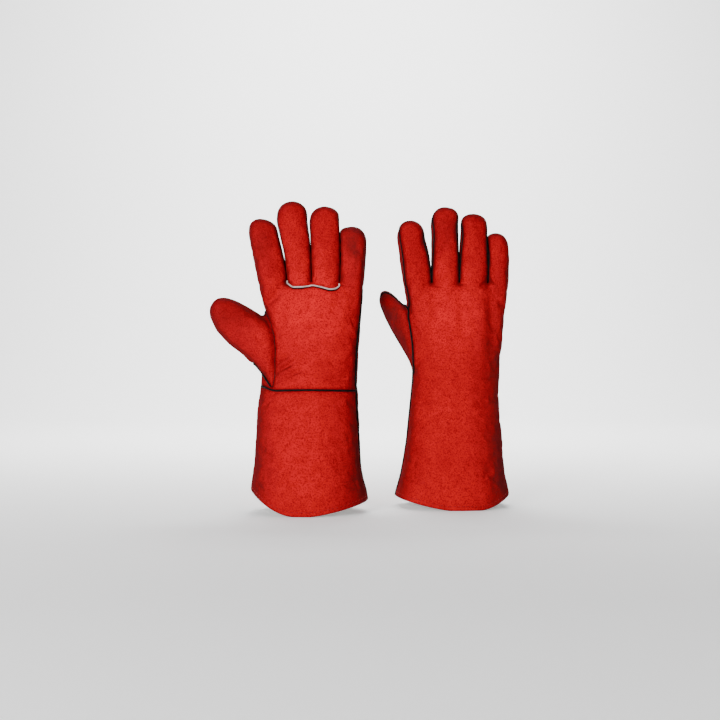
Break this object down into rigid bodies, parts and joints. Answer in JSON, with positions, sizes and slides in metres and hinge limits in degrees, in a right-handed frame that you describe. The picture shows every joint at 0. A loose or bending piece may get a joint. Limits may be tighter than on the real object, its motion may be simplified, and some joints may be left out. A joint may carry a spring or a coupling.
{
  "type": "welding gloves",
  "caption": "Pair of lined red split-leather welding gauntlets with flared cuffs, welted seams, side-stripped fingers and set-in thumbs.",
  "frame": {"origin": "on the floor, midway between the two gloves: the bottom centre of the pair's bounding box", "axes": "+Z from the hems up to the fingertips; the left glove shows its palm and the right glove its back towards -Y; both thumbs point to -X"},
  "size_m": [0.3434, 0.142, 0.35],
  "materials": {
    "red_leather": "split-leather suede, matt, short nap",
    "black_welt": "smooth black welt strip, slightly glossy",
    "pale_welt": "smooth pale grey welt strip",
    "lining": "napped cotton, off-white"
  },
  "bodies": {
    "left_cuff": {"left_cuff_palm_panel": "red_leather", "left_cuff_back_panel": "red_leather", "left_cuff_side_welt": "black_welt", "left_cuff_lining": "lining"},
    "left_hand": {"left_palm_panel": "red_leather", "left_hand_back_panel": "red_leather", "left_wrist_welt": "black_welt", "left_finger_welt": "pale_welt", "left_hand_lining": "lining"},
    "left_thumb": {"left_thumb_front": "red_leather", "left_thumb_back": "red_leather", "left_thumb_lining": "lining"},
    "left_index": {"left_index_front": "red_leather", "left_index_back": "red_leather", "left_index_fourchette": "red_leather", "left_index_lining": "lining"},
    "left_middle": {"left_middle_front": "red_leather", "left_middle_back": "red_leather", "left_middle_fourchette_index_side": "red_leather", "left_middle_fourchette_ring_side": "red_leather", "left_middle_lining": "lining"},
    "left_ring": {"left_ring_front": "red_leather", "left_ring_back": "red_leather", "left_ring_fourchette_middle_side": "red_leather", "left_ring_fourchette_little_side": "red_leather", "left_ring_lining": "lining"},
    "left_little": {"left_little_front": "red_leather", "left_little_back": "red_leather", "left_little_fourchette": "red_leather", "left_little_lining": "lining"},
    "right_cuff": {"right_cuff_palm_panel": "red_leather", "right_cuff_back_panel": "red_leather", "right_cuff_side_welt": "black_welt", "right_cuff_lining": "lining"},
    "right_hand": {"right_palm_panel": "red_leather", "right_hand_back_panel": "red_leather", "right_wrist_welt": "black_welt", "right_finger_welt": "pale_welt", "right_hand_lining": "lining"},
    "right_thumb": {"right_thumb_front": "red_leather", "right_thumb_back": "red_leather", "right_thumb_lining": "lining"},
    "right_index": {"right_index_front": "red_leather", "right_index_back": "red_leather", "right_index_fourchette": "red_leather", "right_index_lining": "lining"},
    "right_middle": {"right_middle_front": "red_leather", "right_middle_back": "red_leather", "right_middle_fourchette_index_side": "red_leather", "right_middle_fourchette_ring_side": "red_leather", "right_middle_lining": "lining"},
    "right_ring": {"right_ring_front": "red_leather", "right_ring_back": "red_leather", "right_ring_fourchette_middle_side": "red_leather", "right_ring_fourchette_little_side": "red_leather", "right_ring_lining": "lining"},
    "right_little": {"right_little_front": "red_leather", "right_little_back": "red_leather", "right_little_fourchette": "red_leather", "right_little_lining": "lining"}
  },
  "joints": [
    {"name": "left_wrist_bend", "type": "hinge", "parent": "left_cuff", "child": "left_hand", "pos_m": [-0.06153, -0.024, 0.118], "axis": [1, 0, 0], "range_deg": [-35, 35], "stiffness_Nm_per_rad": 0.6, "deforming": ["left_hand_lining"]},
    {"name": "left_thumb_swing", "type": "hinge", "parent": "left_hand", "child": "left_thumb", "pos_m": [-0.10488, -0.032, 0.1795], "axis": [-0.0867, 0, 0.9962], "range_deg": [-10, 40], "stiffness_Nm_per_rad": 0.2, "deforming": ["left_thumb_lining"]},
    {"name": "left_index_bend", "type": "hinge", "parent": "left_hand", "child": "left_index", "pos_m": [-0.10273, -0.034, 0.264], "axis": [1, 0, 0], "range_deg": [-10, 75], "stiffness_Nm_per_rad": 0.15, "deforming": ["left_index_lining"]},
    {"name": "left_middle_bend", "type": "hinge", "parent": "left_hand", "child": "left_middle", "pos_m": [-0.07213, -0.034, 0.264], "axis": [1, 0, 0], "range_deg": [-10, 75], "stiffness_Nm_per_rad": 0.15, "deforming": ["left_middle_lining"]},
    {"name": "left_ring_bend", "type": "hinge", "parent": "left_hand", "child": "left_ring", "pos_m": [-0.04253, -0.034, 0.264], "axis": [1, 0, 0], "range_deg": [-10, 75], "stiffness_Nm_per_rad": 0.15, "deforming": ["left_ring_lining"]},
    {"name": "left_little_bend", "type": "hinge", "parent": "left_hand", "child": "left_little", "pos_m": [-0.01273, -0.034, 0.264], "axis": [1, 0, 0], "range_deg": [-10, 75], "stiffness_Nm_per_rad": 0.15, "deforming": ["left_little_lining"]},
    {"name": "right_glove_set_apart", "type": "slide", "parent": "left_cuff", "child": "right_cuff", "axis": [1, 0, 0], "range_m": [0, 0.12]},
    {"name": "right_wrist_bend", "type": "hinge", "parent": "right_cuff", "child": "right_hand", "pos_m": [0.10417, 0.024, 0.118], "axis": [-1, 0, 0], "range_deg": [-35, 35], "stiffness_Nm_per_rad": 0.6, "deforming": ["right_hand_lining"]},
    {"name": "right_thumb_swing", "type": "hinge", "parent": "right_hand", "child": "right_thumb", "pos_m": [0.05817, 0.032, 0.187], "axis": [0.102, 0, -0.9948], "range_deg": [-10, 40], "stiffness_Nm_per_rad": 0.2, "deforming": ["right_thumb_lining"]},
    {"name": "right_index_bend", "type": "hinge", "parent": "right_hand", "child": "right_index", "pos_m": [0.06297, 0.034, 0.264], "axis": [-1, 0, 0], "range_deg": [-10, 75], "stiffness_Nm_per_rad": 0.15, "deforming": ["right_index_lining"]},
    {"name": "right_middle_bend", "type": "hinge", "parent": "right_hand", "child": "right_middle", "pos_m": [0.09627, 0.034, 0.264], "axis": [-1, 0, 0], "range_deg": [-10, 75], "stiffness_Nm_per_rad": 0.15, "deforming": ["right_middle_lining"]},
    {"name": "right_ring_bend", "type": "hinge", "parent": "right_hand", "child": "right_ring", "pos_m": [0.12917, 0.034, 0.264], "axis": [-1, 0, 0], "range_deg": [-10, 75], "stiffness_Nm_per_rad": 0.15, "deforming": ["right_ring_lining"]},
    {"name": "right_little_bend", "type": "hinge", "parent": "right_hand", "child": "right_little", "pos_m": [0.15777, 0.034, 0.264], "axis": [-1, 0, 0], "range_deg": [-10, 75], "stiffness_Nm_per_rad": 0.15, "deforming": ["right_little_lining"]}
  ]
}
